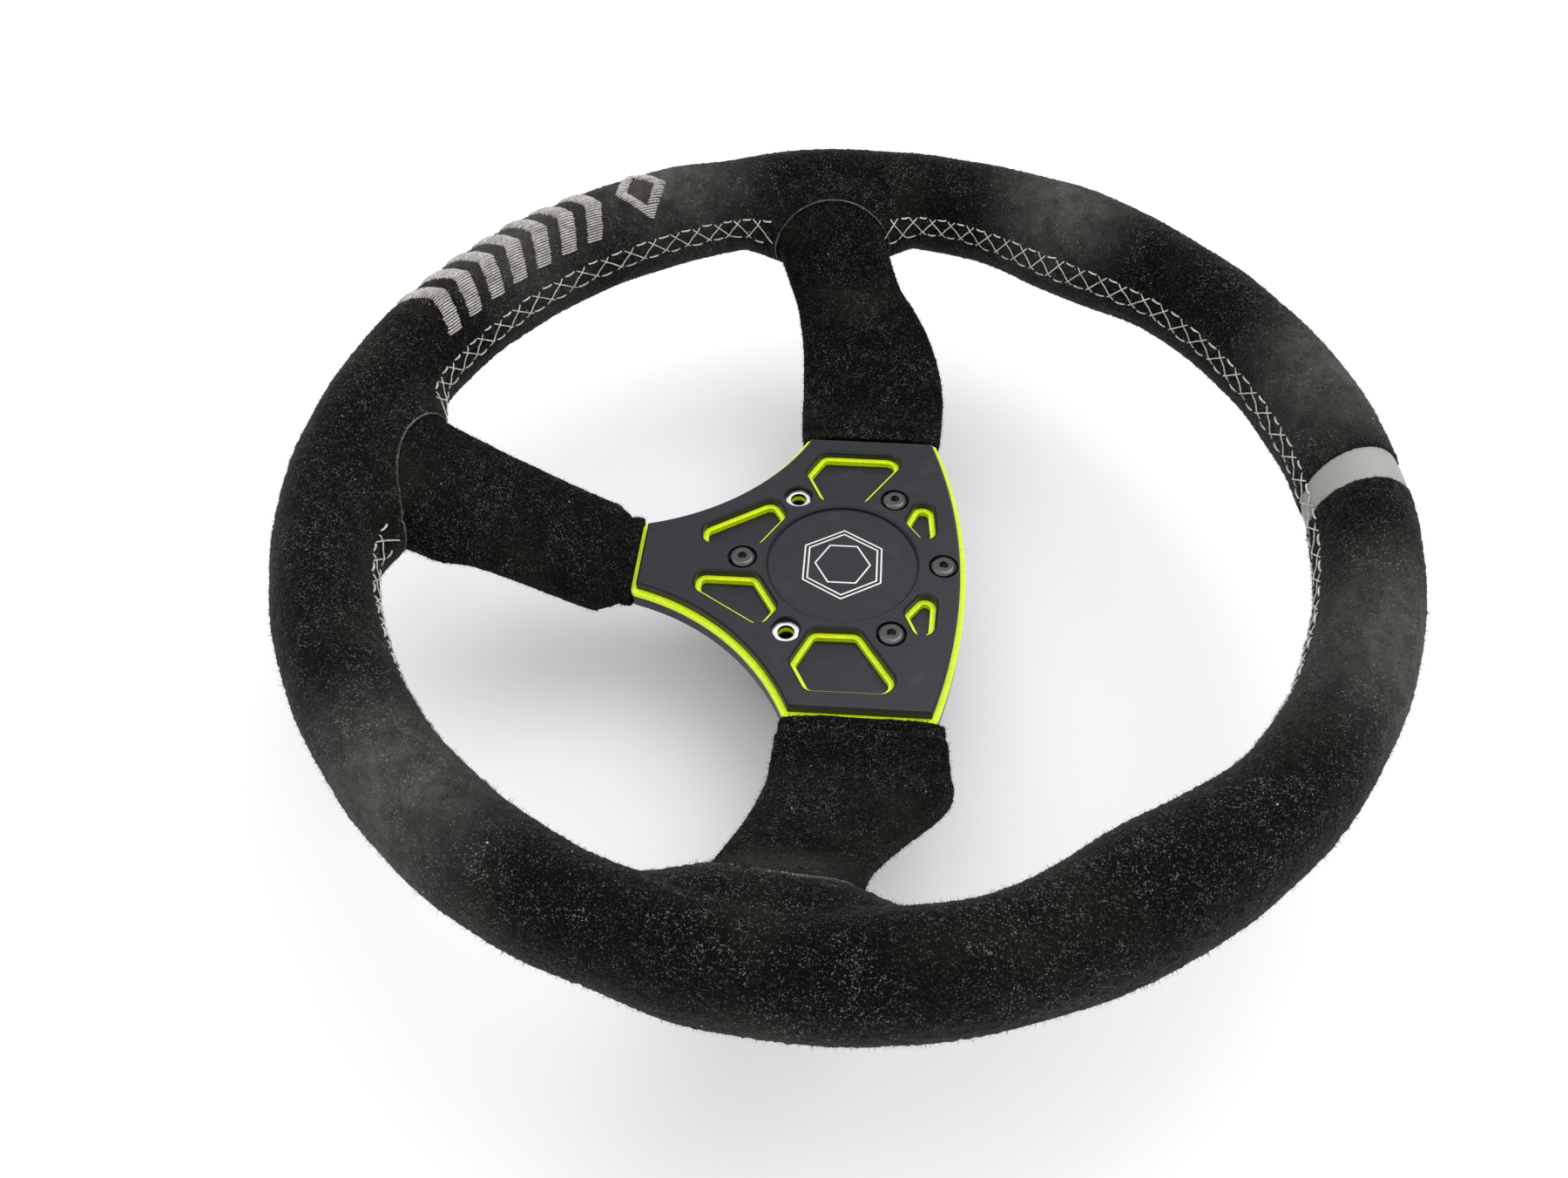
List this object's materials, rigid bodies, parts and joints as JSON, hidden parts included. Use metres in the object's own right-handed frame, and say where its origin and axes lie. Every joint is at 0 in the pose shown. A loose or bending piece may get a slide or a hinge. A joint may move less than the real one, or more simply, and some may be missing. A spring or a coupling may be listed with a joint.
{
  "type": "quick release steering wheel",
  "caption": "Dished round steering wheel with suede grip, padded spokes, layered hub plates and a ball-lock quick release with a sprung pull collar.",
  "frame": {"origin": "on the steering axis, at the mouth of the quick release where the wheel stands", "axes": "+Z along the steering axis to the driver, +Y to twelve o'clock, +X to three o'clock"},
  "size_m": [0.35, 0.35, 0.1155],
  "materials": {
    "suede": "black suede, napped, lightly worn",
    "band": "grey smooth leather",
    "foam": "black grip foam",
    "hoop": "plain steel",
    "armature": "black anodised",
    "accent": "fluorescent yellow-green, satin",
    "face": "black anodised, satin",
    "screws": "black oxide",
    "coupler": "black anodised",
    "collar": "black anodised, fluted",
    "insert": "hardened and ground",
    "spring": "spring steel",
    "balls": "polished"
  },
  "bodies": {
    "wheel": {"armature": "armature", "rim_hoop": "hoop", "accent_plate": "accent", "face_plate": "face", "face_screws": "screws", "rim_cover_upper_right": "suede", "rim_cover_upper_left": "suede", "rim_cover_lower_left": "suede", "rim_cover_lower_right": "suede", "rim_centre_band": "band", "rim_foam_upper_right": "foam", "rim_foam_upper_left": "foam", "rim_foam_lower_left": "foam", "rim_foam_lower_right": "foam", "spoke_foam_right": "foam", "spoke_cover_right": "suede", "spoke_foam_left": "foam", "spoke_cover_left": "suede", "spoke_foam_lower": "foam", "spoke_cover_lower": "suede", "coupler_body": "coupler", "spline_insert": "insert", "insert_grub_screws": "screws", "collar_spring": "spring", "spring_seat": "spring", "retaining_clip": "spring"},
    "collar": {"release_collar": "collar", "lock_ring": "insert"},
    "ball_1": {"locking_ball_1": "balls"},
    "ball_2": {"locking_ball_2": "balls"},
    "ball_3": {"locking_ball_3": "balls"},
    "ball_4": {"locking_ball_4": "balls"},
    "ball_5": {"locking_ball_5": "balls"},
    "ball_6": {"locking_ball_6": "balls"}
  },
  "joints": [
    {"name": "collar_slide", "type": "slide", "parent": "wheel", "child": "collar", "axis": [0, 0, 1], "range_m": [0, 0.008], "stiffness_N_per_m": 900, "springref_m": -0.012, "deforming": ["collar_spring"]},
    {"name": "ball_1_slide", "type": "slide", "parent": "wheel", "child": "ball_1", "axis": [1, 0, 0], "range_m": [0, 0.0016]},
    {"name": "ball_2_slide", "type": "slide", "parent": "wheel", "child": "ball_2", "axis": [0.5, 0.866, 0], "range_m": [0, 0.0016]},
    {"name": "ball_3_slide", "type": "slide", "parent": "wheel", "child": "ball_3", "axis": [-0.5, 0.866, 0], "range_m": [0, 0.0016]},
    {"name": "ball_4_slide", "type": "slide", "parent": "wheel", "child": "ball_4", "axis": [-1, 0, 0], "range_m": [0, 0.0016]},
    {"name": "ball_5_slide", "type": "slide", "parent": "wheel", "child": "ball_5", "axis": [-0.5, -0.866, 0], "range_m": [0, 0.0016]},
    {"name": "ball_6_slide", "type": "slide", "parent": "wheel", "child": "ball_6", "axis": [0.5, -0.866, 0], "range_m": [0, 0.0016]}
  ],
  "couplings": [
    {"joint": "ball_1_slide", "follows": "collar_slide", "ratio": 0.2},
    {"joint": "ball_2_slide", "follows": "collar_slide", "ratio": 0.2},
    {"joint": "ball_3_slide", "follows": "collar_slide", "ratio": 0.2},
    {"joint": "ball_4_slide", "follows": "collar_slide", "ratio": 0.2},
    {"joint": "ball_5_slide", "follows": "collar_slide", "ratio": 0.2},
    {"joint": "ball_6_slide", "follows": "collar_slide", "ratio": 0.2}
  ]
}
